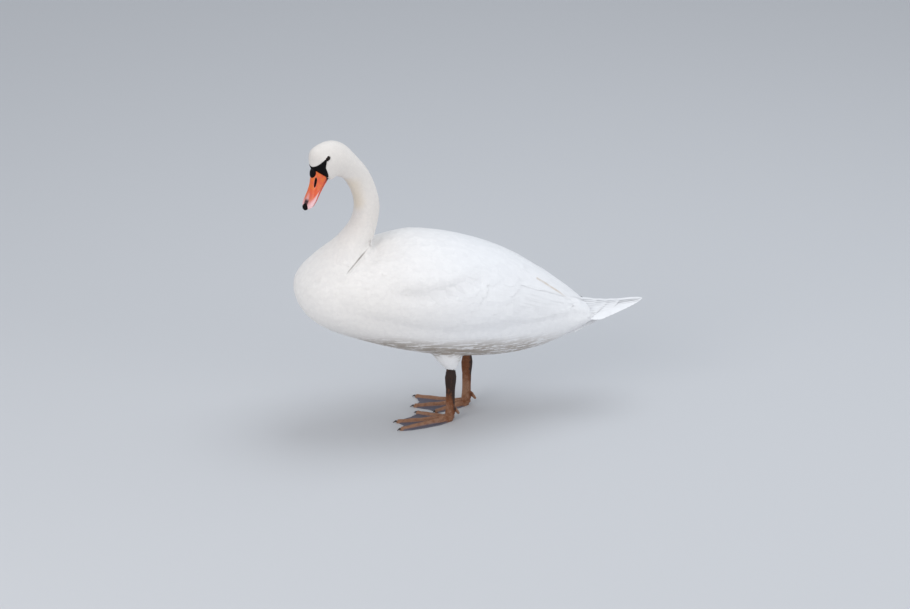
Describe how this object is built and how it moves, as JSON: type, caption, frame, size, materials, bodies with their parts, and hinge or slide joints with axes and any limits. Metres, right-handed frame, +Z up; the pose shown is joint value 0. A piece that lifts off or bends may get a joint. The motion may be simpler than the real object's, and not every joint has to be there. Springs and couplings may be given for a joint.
{
  "type": "mute swan",
  "caption": "Life-size still model of a mute swan standing on webbed feet, wings folded, neck in a curve and orange bill pointing down",
  "frame": {"origin": "middle of the bounding box, on the ground under the feet", "axes": "the bird faces -Y, its left side is +X, +Z up"},
  "size_m": [0.3064, 0.8542, 0.7335],
  "materials": {
    "white_feathers": "matte",
    "orange_bill": "satin",
    "black_horn": "satin",
    "dark_eye": "gloss",
    "leg_skin": "satin"
  },
  "bodies": {
    "root": {"bill_knob": "black_horn", "bill_lower": "orange_bill", "bill_nail": "black_horn", "bill_upper": "orange_bill", "claw_left_hind": "black_horn", "claw_left_inner": "black_horn", "claw_left_middle": "black_horn", "claw_left_outer": "black_horn", "claw_right_hind": "black_horn", "claw_right_inner": "black_horn", "claw_right_middle": "black_horn", "claw_right_outer": "black_horn", "eye_left": "dark_eye", "eye_right": "dark_eye", "foot_left": "leg_skin", "foot_right": "leg_skin", "head": "white_feathers", "hind_toe_left": "leg_skin", "hind_toe_right": "leg_skin", "neck_base": "white_feathers", "neck_lower": "white_feathers", "neck_middle": "white_feathers", "neck_upper": "white_feathers", "shank_left": "leg_skin", "shank_right": "leg_skin", "tail": "white_feathers", "thigh_left": "white_feathers", "thigh_right": "white_feathers", "trunk": "white_feathers", "wing_left": "white_feathers", "wing_right": "white_feathers"}
  },
  "joints": []
}
